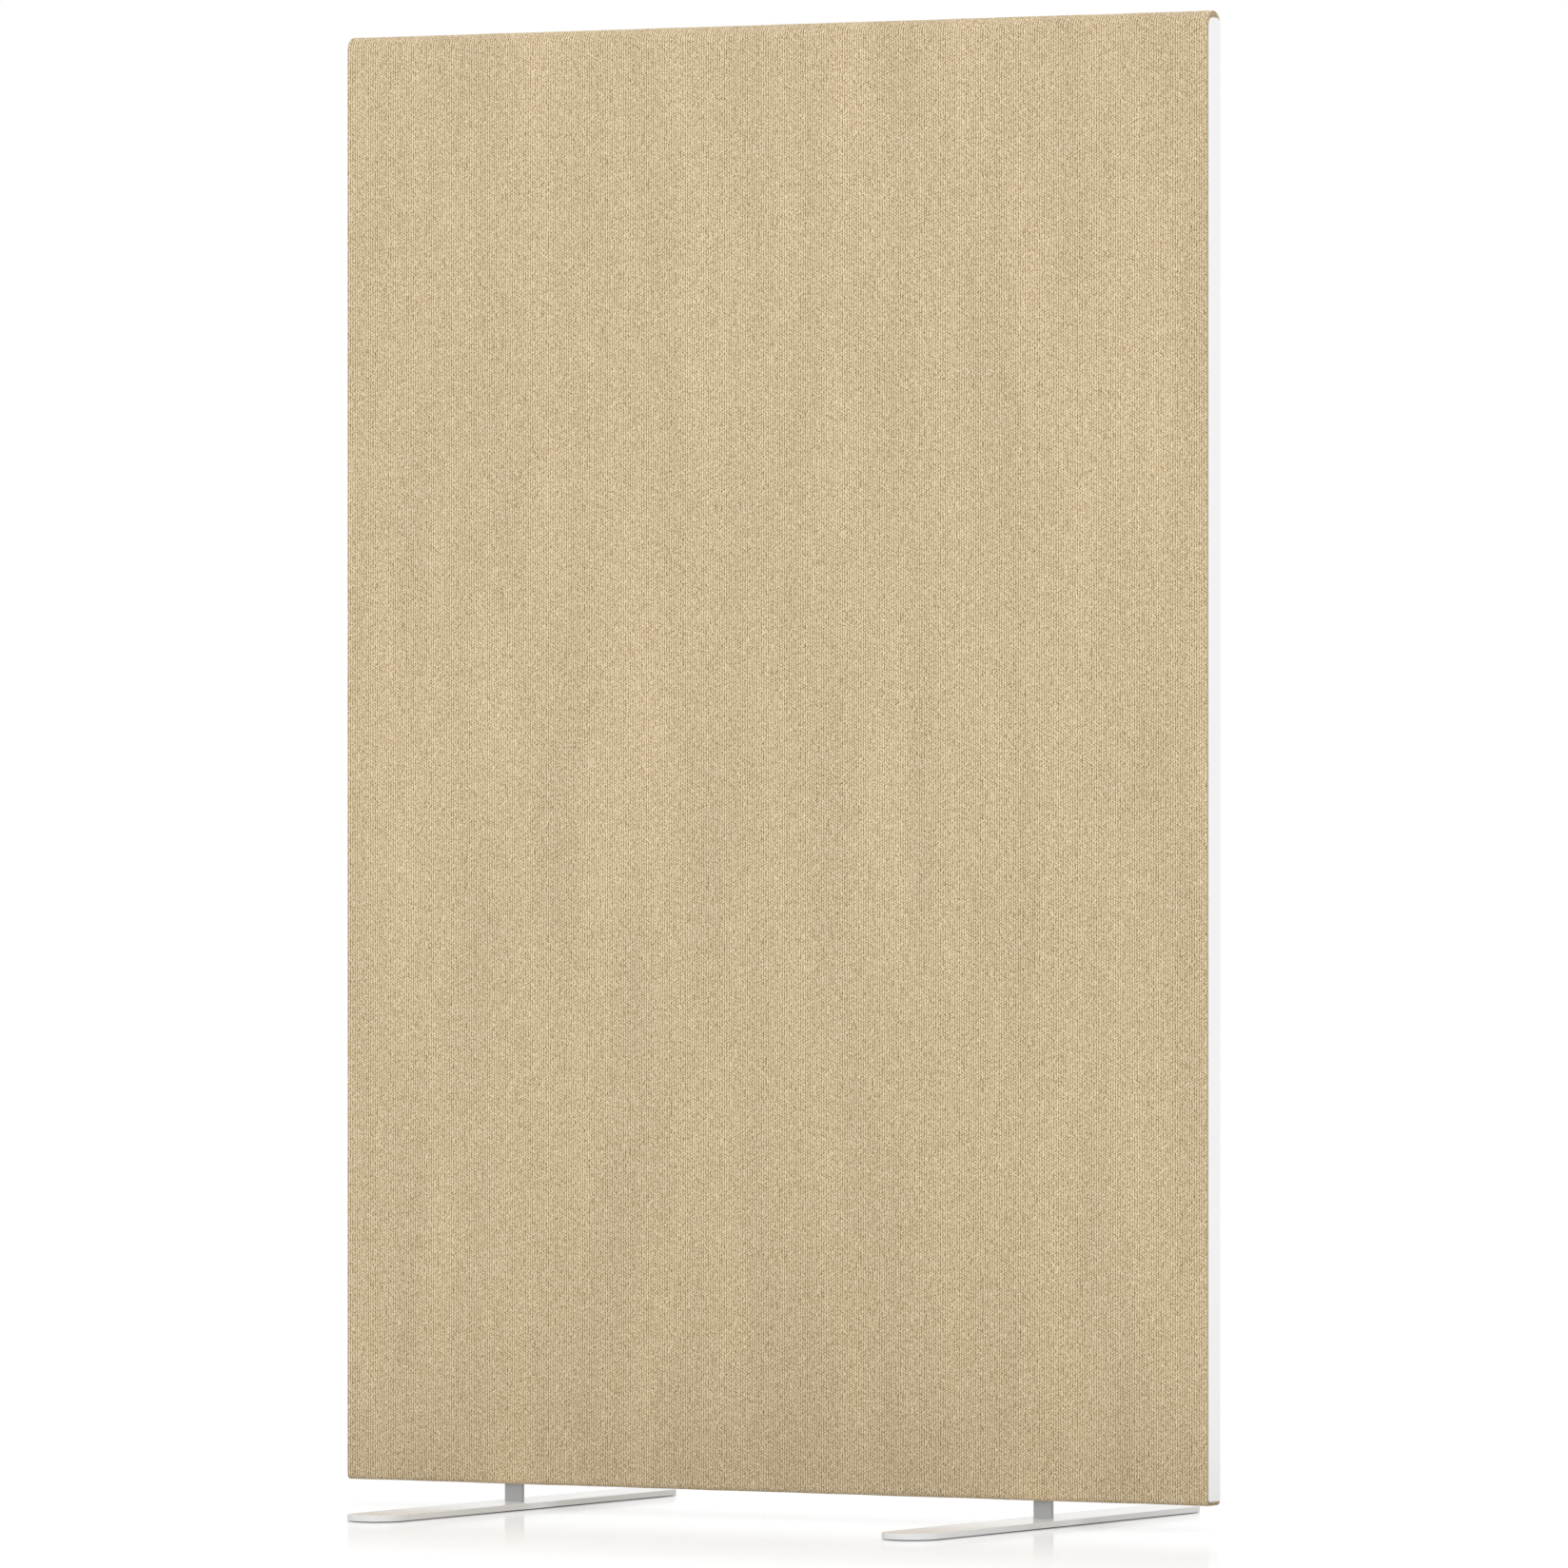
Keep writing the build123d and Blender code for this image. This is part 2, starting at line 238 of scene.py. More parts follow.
clothLook = {
    "plain": {"Roughness": 0.93, "Specular IOR Level": 0.25, "Sheen Weight": 0.10, "Sheen Roughness": 0.45},
    "course": 2.67 * mm,  # one stitch along a rib
    "slant": 0.30,  # how far a stitch's two legs lean into a V
    # painted light on the rib crests and painted shade in the grooves, between ribs and then between
    # stitches
    "ribPaintedShade": 0.60,
    "stitchPaintedShade": 0.33,
    "yarnContrast": 0.10,  # from one stitch to the next
    # painted light on one leg of a stitch and painted shade on the other
    "legPaintedLight": 2.40,  # from one leg of a stitch to the other
    "legScale": (5.17, 620.0, 1.0),  # changes to a rib, and to a metre along it
    "fibreContrast": 1.75,  # from one tuft of fibres to the next
    "fibreScale": (1300.0, 580.0, 5.0),  # tufts to a metre, across and along a rib
    "ribSpread": 0.08,  # from one rib to the next
    "ribScale": (7.31, 6.0, 1.0),
    "middle": 0.253,
    "patchScale": (16.0, 2.2, 1.0),  # slow patches to a metre, across and along the ribs
    "patchSpread": 0.055,
    # painted shade of the crevice where the cloth turns in beside a strip
    "foldPaintedShade": 0.70,  # what is left of the colour where the cloth turns in under a strip
    "foldShares": (0.15, 0.80),  # of the turn onto the end, where that starts and is complete
    "shades": (  # darkest to lightest yarn, evenly spaced
        (0.169, 0.110, 0.031, 1.0),
        (0.306, 0.217, 0.091, 1.0),
        (0.490, 0.365, 0.198, 1.0),
        (0.712, 0.567, 0.362, 1.0),
        (0.953, 0.803, 0.588, 1.0),
    ),
    "bump": 0.30 * mm,
    "betweenStitches": 0.45,  # height left there, of a stitch's full height
    "fibreBump": 0.4,
}


def clothFinish(wale, fold):
    # A ribbed knit, with ribs one wale apart and stitches staggered by half from rib to rib.
    # The rib's round and the stitch's round, as painted light on the crests and painted shade in the
    # grooves, painted light and shade swapping between a stitch's two legs, its own shade, its tufts of
    # fibre and the rib's own shade add up to one lightness, which picks the yarn's colour.
    # Between the two widths in fold the cloth turns onto the ends, and is darkened there with painted shade.
    look = clothLook
    material, tree, shader = startMaterial("ribbedKnit", look["plain"])
    place = addNode(tree, "ShaderNodeUVMap", uv_map="clothMap").outputs[0]
    split = addNode(tree, "ShaderNodeSeparateXYZ", {0: place}).outputs
    ribs = calc(tree, "ADD", calc(tree, "DIVIDE", split[0], wale), 0.5)
    column = calc(tree, "FLOOR", ribs)
    acrossRib = calc(tree, "FRACT", ribs)
    side = calc(tree, "MULTIPLY_ADD", acrossRib, 2.0, -1.0)
    fromMiddle = calc(tree, "ABSOLUTE", side)
    stagger = calc(tree, "FRACT", calc(tree, "MULTIPLY", column, 0.5))
    stitches = calc(tree, "ADD", calc(tree, "DIVIDE", split[1], look["course"]), stagger)
    stitches = calc(tree, "MULTIPLY_ADD", fromMiddle, look["slant"], stitches)
    ribRound = calc(tree, "SUBTRACT", 1.0, calc(tree, "POWER", fromMiddle, 2.0))
    stitchRound = calc(tree, "COSINE", calc(tree, "MULTIPLY", stitches, 2 * math.pi))

    cell = addNode(tree, "ShaderNodeCombineXYZ", {0: column, 1: calc(tree, "FLOOR", stitches)}).outputs[0]
    yarn = addNode(tree, "ShaderNodeTexWhiteNoise", {"Vector": cell}, noise_dimensions="2D").outputs["Value"]
    leaned = addNode(tree, "ShaderNodeCombineXYZ", {
        0: split[0], 1: calc(tree, "MULTIPLY", stitches, look["course"]), 2: stagger}).outputs[0]
    fibre = noise(tree, leaned, look["fibreScale"], 1.0)
    ribRun = addNode(tree, "ShaderNodeCombineXYZ", {0: column, 1: split[1]}).outputs[0]
    ribShade = noise(tree, ribRun, look["ribScale"], 1.0)
    # painted light and shade: one leg of each stitch lighter, the other darker, swapping along the rib
    legs = calc(tree, "SUBTRACT", noise(tree, ribRun, look["legScale"]), 0.5)
    legs = calc(tree, "MULTIPLY", legs, side)

    # painted shade in the grooves between ribs and between stitches, painted light on their crests
    lightness = calc(tree, "MULTIPLY_ADD", ribRound, look["ribPaintedShade"], look["middle"])
    swing = calc(tree, "MULTIPLY", calc(tree, "MULTIPLY", stitchRound, ribRound), look["stitchPaintedShade"] / 2)
    lightness = calc(tree, "ADD", lightness, swing)
    lightness = calc(tree, "MULTIPLY_ADD", legs, look["legPaintedLight"], lightness)
    for value, contrast in ((yarn, "yarnContrast"), (fibre, "fibreContrast"), (ribShade, "ribSpread")):
        away = calc(tree, "MULTIPLY", calc(tree, "SUBTRACT", value, 0.5), look[contrast])
        lightness = calc(tree, "ADD", lightness, away)
    ramp = addNode(tree, "ShaderNodeValToRGB", {0: lightness})
    for _ in look["shades"][2:]:
        ramp.color_ramp.elements.new(0.5)
    for number, (element, shade) in enumerate(zip(ramp.color_ramp.elements, look["shades"])):
        element.position = number / (len(look["shades"]) - 1)
        element.color = shade

    patchPlace = stretch(tree, place, look["patchScale"])
    patches = useGroup(tree, drift, {"Place": patchPlace, "Scale": 1.0, "Spread": look["patchSpread"]})[0]
    # painted shade: darker where the cloth turns onto the ends beside the strips
    turned = rescale(tree, calc(tree, "ABSOLUTE", split[0]), fold[0], fold[1], 1.0, look["foldPaintedShade"])
    stitchHeight = rescale(tree, stitchRound, -1.0, 1.0, look["betweenStitches"], 1.0)
    height = calc(tree, "MULTIPLY", ribRound, stitchHeight)
    height = calc(tree, "MULTIPLY_ADD", fibre, look["fibreBump"], height)
    feed(tree, shader, baseColor=shaded(tree, ramp.outputs[0], calc(tree, "MULTIPLY", patches, turned)),
         normal=raised(tree, height, look["bump"]))
    return material


sleeveValues = {
    "ribs": 371,  # across the flat face
    "stepsPerRib": 4,
    "relief": 0.35 * mm,  # from a rib's crest to the groove beside it
    "grooveShape": 0.7,  # under 1 makes the grooves narrower than the ribs
    "foldRadius": 1.5 * mm,  # where the cloth turns onto the ends
    "foldSteps": 4,
    "endSteps": 8,  # from the fold to the slot
    "thickness": 1.0 * mm,
    "innerColumns": 21,
    "slotHalf": 2.5 * mm,  # half the gap left for the strip's tongue
    "bottomRadius": 5.0 * mm,
    "bottomSteps": 4,
    "heightSteps": 14,
    "topSteps": 12,
    "plateClearance": 0.5 * mm,
    "openingHalf": 7.0 * mm,  # half the depth of the openings round the post plates
    "frontPlaces": (0.0, 0.6, 1.2, 3.0, 7.0),  # rows of the underside, in mm from its middle line
    "backPlaces": (7.0, 5.2, 4.1, 3.9, 3.4, 1.2, 0.6),
    "hemStep": 0.5 * mm,  # where the front's edge laps over the back's, below
    "hemPlaces": (3.4, 3.9, 4.15, 5.2, 7.5),  # mm behind the middle line, and how much of the step is there
    "hemShares": (0.0, 0.25, 1.0, 1.0, 0.0),
    "slack": 0.35 * mm,  # most that the cloth lies in where the wadding is soft
    "slackWaves": ((31.0, 1.3, 0.4), (58.0, -2.1, 2.0), (93.0, 3.4, 5.1)),
    "sway": 0.20 * mm,  # sideways wander of the ribs
    "swayWaves": ((70.0, 9.0, 0.0), (131.0, -14.0, 1.7)),
    "edgeHold": 30 * mm,  # slack and sway die out this near to the ends
    "stapleDip": 0.45 * mm,
    "dipHalfLength": 5.6 * mm,
    "dipHalfWidth": 1.0 * mm,
    "deepest": 0.9 * mm,  # that the outer surface ever lies in, so that it stays clear of the inner one
}


def arcRows(centreY, centreZ, radius, start, end, steps):
    # points on a circle: centre plus radius times the cosine and sine; the last is left to the next stretch
    angle = np.radians(np.linspace(start, end, steps, endpoint=False))
    ny, nz = np.cos(angle), np.sin(angle)
    return np.stack([centreY + radius * ny, centreZ + radius * nz, ny, nz], 1)


def straightRows(first, last, shares, normal):
    # points on a line: first plus a share of the way to last
    share = np.asarray(shares)[:, None]
    points = np.array(first) * (1 - share) + np.array(last) * share
    return np.hstack([points, np.tile(normal, (len(points), 1))])


def sleeveRows(half, bottom, top):
    # the end view as one closed loop of (y, z, ny, nz): from the middle of the underside round by the front
    v = sleeveValues
    radius, corner = v["bottomRadius"], v["bottomSteps"]
    shoulder = top - half
    flat = half - radius
    even = np.linspace(0, 1, v["heightSteps"], endpoint=False)
    frontShares = np.array(v["frontPlaces"]) * mm / flat
    backShares = np.append(0, 1 - np.array(v["backPlaces"]) * mm / flat)
    return np.vstack([
        straightRows((0, bottom), (-flat, bottom), frontShares, (0, -1)),
        arcRows(-flat, bottom + radius, radius, 270, 180, corner),
        straightRows((-half, bottom + radius), (-half, shoulder), even, (-1, 0)),
        arcRows(0, shoulder, half, 180, 0, v["topSteps"]),
        straightRows((half, shoulder), (half, bottom + radius), even, (1, 0)),
        arcRows(flat, bottom + radius, radius, 0, -90, corner),
        straightRows((flat, bottom), (0, bottom), backShares, (0, -1)),
    ])


def meshPiece(name, points, faces, maps=None):
    # a smooth-shaded object; maps holds, for each UV map, two numbers for each face corner in turn
    used, places = np.unique(np.concatenate([np.ravel(f) for f in faces]), return_inverse=True)
    counts = np.concatenate([np.full(len(f), len(f[0])) if np.ndim(f) == 2 else [len(f)] for f in faces])
    rows = np.split(places, np.cumsum(counts)[:-1])
    mesh = bpy.data.meshes.new(name)
    mesh.from_pydata(points[used].tolist(), [], [row.tolist() for row in rows])
    mesh.polygons.foreach_set("use_smooth", np.ones(len(rows), bool))
    for mapName, corners in (maps or {}).items():
        layer = mesh.uv_layers.new(name=mapName)
        layer.data.foreach_set("uv", np.concatenate([np.ravel(c) for c in corners]).astype(np.float32))
    mesh.update()
    made = bpy.data.objects.new(name, mesh)
    scene.collection.objects.link(made)
    return made


def stapleMiddles():
    # where the staples stand along X, read from their solids: a new one starts after each wide gap
    wideGap = 20 * mm
    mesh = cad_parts["hem_staples"].data
    points = np.zeros(len(mesh.vertices) * 3, np.float32)
    mesh.vertices.foreach_get("co", points)
    along = np.sort(points[0::3])
    starts = np.nonzero(np.diff(along) > wideGap)[0] + 1
    return np.array([part.mean() for part in np.split(along, starts)])


def waveMean(x, z, waves):
    # the mean of sine waves, each given by its turn to a metre along X and along Z and by its start
    return sum(np.sin(alongX * x + alongZ * z + start) for alongX, alongZ, start in waves) / len(waves)


def makeSleeve():
    # A tube of cloth: rows run round the end view, columns from the fold on one end across to the other.
    # A point is the outline's point, less the normal times how far the cloth turns, sinks or dips there.
    v = sleeveValues
    low, high = (np.array(c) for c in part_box("fabric_cover"))
    end, half = high[0], high[1]
    rows = sleeveRows(half, low[2], high[2])
    rowCount = len(rows)
    y, z, ny, nz = rows.T
    step = np.hypot(np.diff(np.append(y, y[0])), np.diff(np.append(z, z[0])))
    along = np.concatenate([[0], np.cumsum(step)])

    # columns: how far round the fold, how far down the end, and the unrolled width
    face = end - v["foldRadius"]
    turn = np.radians(np.linspace(0, 90, v["foldSteps"] + 1)[1:])
    down = np.linspace(0, 1, v["endSteps"] + 1)[1:]
    middle = np.linspace(-face, face, v["ribs"] * v["stepsPerRib"] + 1)
    edgeX = face + v["foldRadius"] * np.sin(turn)
    foldLength = v["foldRadius"] * math.pi / 2
    endLength = half - v["foldRadius"] - v["slotHalf"]
    side = np.concatenate([face + v["foldRadius"] * turn, face + foldLength + endLength * down])
    width = np.concatenate([-side[::-1], middle, side])
    endX = np.full(len(down), end)
    square = np.full(len(down), math.pi / 2)
    level = np.zeros(len(middle))
    columnX = np.concatenate([-endX, -edgeX[::-1], middle, edgeX, endX])
    angle = np.concatenate([square, turn[::-1], level, turn, square])
    toSlot = np.concatenate([down[::-1], np.zeros(len(middle) + 2 * len(turn)), down])
    columnCount = len(width)

    # the end folds run from the turn straight towards the slot's edge
    turned = v["foldRadius"] * (1 - np.cos(angle))
    slotZ = np.clip(z, low[2] + half, high[2] - half)
    firstY, firstZ = y - ny * v["foldRadius"], z - nz * v["foldRadius"]
    reach = np.hypot(firstY, firstZ - slotZ)
    slotY, slotPlaceZ = firstY / reach * v["slotHalf"], slotZ + (firstZ - slotZ) / reach * v["slotHalf"]
    baseY = y[:, None] - ny[:, None] * turned
    baseZ = z[:, None] - nz[:, None] * turned
    baseY = baseY * (1 - toSlot) + slotY[:, None] * toSlot
    baseZ = baseZ * (1 - toSlot) + slotPlaceZ[:, None] * toSlot

    # how far the surface lies in: grooves between ribs, slack, the lap of the hem, dips at the staples
    acrossX, upZ = columnX[None, :], z[:, None]
    rib = np.abs(np.sin(math.pi * (width + face) / (2 * face) * v["ribs"])) ** v["grooveShape"]
    inside = np.clip((face - np.abs(columnX)) / v["edgeHold"], 0, 1)
    waves = waveMean(acrossX, upZ, v["slackWaves"])
    lying = v["relief"] * (1 - rib)[None, :] + v["slack"] * (0.5 + 0.5 * waves) * inside
    underneath = nz < -0.99
    lap = np.interp(y / mm, v["hemPlaces"], v["hemShares"]) * underneath
    near = np.exp(-((acrossX - stapleMiddles()[:, None]) / v["dipHalfLength"]) ** 8).sum(0)
    dip = v["stapleDip"] * np.exp(-(y / v["dipHalfWidth"]) ** 4)[:, None] * near * underneath[:, None]
    lying = np.minimum(lying + v["hemStep"] * lap[:, None] + dip, v["deepest"])

    wander = v["sway"] * inside * waveMean(acrossX, upZ, v["swayWaves"])
    outer = np.stack([
        acrossX + wander - np.sign(columnX) * np.sin(angle) * lying,
        baseY - ny[:, None] * np.cos(angle) * lying,
        baseZ - nz[:, None] * np.cos(angle) * lying,
    ], 2)

    # inner layer, with few columns
    plates = [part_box(name + "_post") for name in ("left", "right")]
    openings = [(a[0] - v["plateClearance"], b[0] + v["plateClearance"]) for a, b in plates]
    nearest = [np.searchsorted(columnX, pair) for pair in openings]
    openColumns = [(int(first) - 1, int(last)) for first, last in nearest]
    edges = [columnX[column] for pair in openColumns for column in pair]
    back = end - v["thickness"]
    innerX = np.unique(np.concatenate([np.linspace(-back, back, v["innerColumns"]), edges]))
    innerY = (y - ny * v["thickness"])[:, None] * np.ones(len(innerX))
    innerZ = (z - nz * v["thickness"])[:, None] * np.ones(len(innerX))
    innerX = np.concatenate([[-back], innerX, [back]])
    innerY = np.hstack([slotY[:, None], innerY, slotY[:, None]])
    innerZ = np.hstack([slotPlaceZ[:, None], innerZ, slotPlaceZ[:, None]])
    inner = np.stack([np.tile(innerX, (rowCount, 1)), innerY, innerZ], 2)
    innerCount = len(innerX)
    points = np.vstack([outer.reshape(-1, 3), inner.reshape(-1, 3)])
    outerAt = np.arange(rowCount * columnCount).reshape(rowCount, columnCount)
    innerAt = outerAt.size + np.arange(rowCount * innerCount).reshape(rowCount, innerCount)

    # four-sided faces of both layers, without those over the post plates
    nextRow = np.roll(np.arange(rowCount), -1)
    betweenY = (y + y[nextRow]) / 2
    openRow = underneath & underneath[nextRow] & (np.abs(betweenY) < v["openingHalf"])

    def layerFaces(at, placesX, columnEdges, inwards):
        keep = np.ones((rowCount, at.shape[1] - 1), bool)
        for first, last in columnEdges:
            keep[np.ix_(openRow, np.arange(first, last))] = False
        quads = np.stack([at[:, :-1], at[:, 1:], at[nextRow][:, 1:], at[nextRow][:, :-1]], 2)
        rowPlace = np.stack([along[:-1], along[:-1], along[1:], along[1:]], 1)[:, None, :]
        places = np.stack([placesX[:-1], placesX[1:], placesX[1:], placesX[:-1]], 1)[None, :, :]
        places = np.stack(np.broadcast_arrays(places, rowPlace), 3)
        quads, places = quads[keep], places[keep]
        return (quads[:, ::-1], places[:, ::-1]) if inwards else (quads, places)

    def innerColumn(column):
        return int(np.nonzero(np.isclose(innerX, columnX[column]))[0][0])

    innerOpen = [tuple(innerColumn(column) for column in pair) for pair in openColumns]
    innerWidth = np.concatenate([[width[0]], innerX[1:-1], [width[-1]]])
    faces, corners = [], []
    for quads, places in (layerFaces(outerAt, width, openColumns, False),
                          layerFaces(innerAt, innerWidth, innerOpen, True)):
        faces.append(quads)
        corners.append(places)

    # rims that join the two layers, along the slots and round the openings
    def rim(first, second, rowsUsed, forward):
        after = nextRow[rowsUsed]
        quads = np.stack([
            outerAt[rowsUsed, first], outerAt[after, first],
            innerAt[after, second], innerAt[rowsUsed, second]], 1)
        start, stop = along[rowsUsed], along[rowsUsed + 1]
        rowPlace = np.stack([start, stop, stop, start], 1)
        places = np.stack([np.full(rowPlace.shape, width[first]), rowPlace], 2)
        faces.append(quads if forward else quads[:, ::-1])
        corners.append(places if forward else places[:, ::-1])

    everyRow = np.arange(rowCount)
    rim(0, 0, everyRow, True)
    rim(columnCount - 1, innerCount - 1, everyRow, False)
    openRows = np.nonzero(openRow)[0]
    firstRow = next(int(r) for r in openRows if not openRow[r - 1])
    lastRow = next(int(nextRow[r]) for r in openRows if not openRow[nextRow[r]])
    for (a, b), (innerA, innerB) in zip(openColumns, innerOpen):
        rim(a, innerA, openRows, False)
        rim(b, innerB, openRows, True)
        for row, order in ((firstRow, 1), (lastRow, -1)):
            edge = np.concatenate([outerAt[row, a:b + 1], innerAt[row, innerA:innerB + 1][::-1]])
            place = np.concatenate([width[a:b + 1], innerWidth[innerA:innerB + 1][::-1]])
            faces.append(edge[::order])
            corners.append(np.stack([place, np.full(len(place), along[row])], 1)[::order])

    # the knit reads the map in metres; the second map is the same one laid inside 0 to 1, for baking
    total, reachX = along[-1], width[-1]
    margin = 0.003
    halfSpan, span = 0.5 - margin, 1 - 2 * margin
    scaled = [np.stack([
        c[..., 0] / reachX * halfSpan + 0.5, c[..., 1] / total * span + margin], -1) for c in corners]
    sleeve = meshPiece("cloth_sleeve", points, faces, {"clothMap": corners, "OFBake": scaled})
    fold = [face + foldLength * share for share in clothLook["foldShares"]]
    sleeve.data.materials.append(clothFinish(2 * face / v["ribs"], fold))
    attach(sleeve, "root")
    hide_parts("fabric_cover")
    print("cloth sleeve:", len(sleeve.data.polygons), "faces")


# Wadding

waddingValues = {
    "thickness": 3.3 * mm,
    "corner": 5 * mm,
    "cornerStart": 249,  # degrees round the lower corner, where the mat's edge stops
    "cornerSteps": 5,
    "heightSteps": 40,
    "topSteps": 10,
    "columns": 60,
    "innerLift": 0.5 * mm,  # how much sooner the inner side stops, below
    "unevenness": 0.25 * mm,
    "seed": 7,
    "plain": {"Roughness": 0.95, "Sheen Weight": 0.2},
    "dark": (0.80, 0.79, 0.75, 1.0),
    "light": (0.93, 0.93, 0.91, 1.0),
    "fibreLength": 12 * mm,
}


def waddingFinish():
    v = waddingValues
    material, tree, shader = startMaterial("whiteWadding", v["plain"])
    mat = useGroup(tree, fibres, {"Place": objectPlace(tree), "Length": v["fibreLength"]})[0]
    amount = rescale(tree, mat, *fibreRange, 0.0, 1.0)
    feed(tree, shader, baseColor=mixed(tree, amount, v["dark"], v["light"]),
         normal=raised(tree, mat, reliefs["felt"]))
    return material


def makeWadding():
    # One mat over the front, the top edge and the back: an outer path and an inner one, 3.3 mm apart,
    # carried along X. The outer side is needled, so it lies in by a small random depth.
    v = waddingValues
    low, high = (np.array(c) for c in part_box("wadding"))
    half, shoulder, corner = high[1], high[2] - high[1], v["corner"]
    even = np.linspace(0, 1, v["heightSteps"], endpoint=False)
    outer = np.vstack([
        arcRows(-(half - corner), low[2] + corner, corner, v["cornerStart"], 180, v["cornerSteps"]),
        straightRows((-half, low[2] + corner), (-half, shoulder), even, (-1, 0)),
        arcRows(0, shoulder, half, 180, 90, v["topSteps"])])
    crown = arcRows(0, shoulder, half, 90, 89, 1)  # one row along the very top
    outer = np.vstack([outer, crown, outer[::-1] * [-1, 1, -1, 1]])
    inner = outer.copy()
    inHalf = half - v["thickness"]
    flat = inner[:, 1] < shoulder
    inner[flat, 0] = np.sign(inner[flat, 0]) * inHalf
    inner[flat, 1] += v["innerLift"] * (inner[flat, 1] < low[2] + corner)
    inner[~flat, :2] -= inner[~flat, 2:] * v["thickness"]
    x = np.linspace(low[0], high[0], v["columns"] + 1)
    rowCount, columnCount = len(outer), len(x)
    depth = np.random.default_rng(v["seed"]).random((rowCount, columnCount)) * v["unevenness"]
    allX = np.tile(x, (rowCount, 1))
    grid = np.stack([allX, outer[:, :1] - outer[:, 2:3] * depth, outer[:, 1:2] - outer[:, 3:4] * depth], 2)
    under = np.stack(np.broadcast_arrays(allX, inner[:, :1], inner[:, 1:2]), 2)
    points = np.vstack([grid.reshape(-1, 3), under.reshape(-1, 3)])
    out = np.arange(rowCount * columnCount).reshape(rowCount, columnCount)
    within = out + out.size

    def quads(a, b, c, d):
        return np.stack([np.ravel(part) for part in (a, b, c, d)], 1)

    faces = [
        quads(out[:-1, :-1], out[:-1, 1:], out[1:, 1:], out[1:, :-1]),
        quads(within[:-1, :-1], within[1:, :-1], within[1:, 1:], within[:-1, 1:]),
        quads(out[:-1, 0], out[1:, 0], within[1:, 0], within[:-1, 0]),
        quads(out[1:, -1], out[:-1, -1], within[:-1, -1], within[1:, -1]),
        quads(out[0, 1:], out[0, :-1], within[0, :-1], within[0, 1:]),
        quads(out[-1, :-1], out[-1, 1:], within[-1, 1:], within[-1, :-1]),
    ]
    mat = meshPiece("wadding_mat", points, faces)
    mat.data.materials.append(waddingFinish())
    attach(mat, "root")
    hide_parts("wadding")
    print("wadding:", len(mat.data.polygons), "faces")


# Finishes of the pieces that keep their solids

finishValues = {
    "foot": {"colour": (0.89, 0.89, 0.885), "roughness": 0.15, "pebble": 1.1 * mm, "metallic": 0.0},
    "post": {"colour": (0.42, 0.42, 0.415), "roughness": 0.40, "pebble": 1.0 * mm, "metallic": 0.6},
    "strip": {"colour": (0.95, 0.95, 0.95), "glossy": 0.36, "dull": 0.46, "lineScale": (900.0, 900.0, 3.0)},
    "pine": {"light": (0.66, 0.47, 0.27, 1.0), "dark": (0.42, 0.26, 0.12, 1.0)},
    "beech": {"light": (0.56, 0.37, 0.20, 1.0), "dark": (0.36, 0.20, 0.09, 1.0)},
    "absorber": {
        "dark": (0.17, 0.18, 0.19, 1.0), "light": (0.36, 0.37, 0.38, 1.0), "fleck": (0.62, 0.62, 0.60, 1.0),
        "fibreLength": 18 * mm, "fleckScale": (700.0, 700.0, 700.0)},
    "wire": {"colour": (0.60, 0.61, 0.62), "roughness": 0.35, "lineScale": (90.0, 3000.0, 3000.0)},
    "screw": {"colour": (0.66, 0.67, 0.69), "roughness": 0.28, "lineScale": (2500.0, 2500.0, 900.0)},
    "insert": {"colour": (0.72, 0.53, 0.25), "roughness": 0.30, "lineScale": (700.0, 700.0, 4000.0)},
    "pad": {"clean": (0.018, 0.018, 0.018, 1.0), "dusty": (0.060, 0.058, 0.055, 1.0),
            "dustScale": (260.0, 260.0, 260.0)},
}


def powderFinish(name, colour, roughness, pebble, metallic):
    # sprayed powder paint: fine pebbles, and a slow drift of shade and gloss
    material, tree, shader = startMaterial(name, {"Specular IOR Level": 0.5, "Metallic": metallic})
    place = objectPlace(tree)
    gloss = drifting(tree, place, "paintGloss")
    pebbles = useGroup(tree, peel, {"Place": place, "Size": pebble})[0]
    feed(tree, shader, baseColor=shaded(tree, colour, drifting(tree, place, "paintShade")),
         roughness=calc(tree, "MULTIPLY", gloss, roughness), normal=raised(tree, pebbles, reliefs["paint"]))
    return material


def stripFinish(colour, glossy, dull, lineScale):
    # satin moulding, with faint lines drawn along its length
    material, tree, shader = startMaterial("satinWhiteMoulding", {"Specular IOR Level": 0.45})
    place = objectPlace(tree)
    lines = noise(tree, place, lineScale)
    feed(tree, shader, baseColor=shaded(tree, colour, drifting(tree, place, "strip")),
         roughness=rescale(tree, lines, *noiseRange, glossy, dull),
         normal=raised(tree, lines, reliefs["strip"]))
    return material


def timberFinish(name, light, dark, turn):
    # planed wood; turn lays the grain's Z along the piece
    material, tree, shader = startMaterial(name, {"Roughness": 0.6, "Specular IOR Level": 0.3})
    place = addNode(tree, "ShaderNodeMapping", {"Vector": objectPlace(tree), "Rotation": turn}).outputs[0]
    wood = useGroup(tree, grain, {"Place": place, "Light": light, "Dark": dark})
    feed(tree, shader, baseColor=wood["Color"], normal=raised(tree, wood["Height"], reliefs["timber"]))
    return material


def absorberFinish(dark, light, fleck, fibreLength, fleckScale):
    # pressed board of grey fibres; only the peaks of the fleck noise show, half mixed in
    plain = {"Roughness": 0.95, "Specular IOR Level": 0.15}
    material, tree, shader = startMaterial("pressedFibreBoard", plain)
    place = objectPlace(tree)
    mat = useGroup(tree, fibres, {"Place": place, "Length": fibreLength})[0]
    flecks = rescale(tree, noise(tree, place, fleckScale, 1.0), 0.62, 0.68, 0.0, 0.5)
    felt = mixed(tree, rescale(tree, mat, *fibreRange, 0.0, 1.0), dark, light)
    feed(tree, shader, baseColor=mixed(tree, flecks, felt, fleck), normal=raised(tree, mat, reliefs["felt"]))
    return material


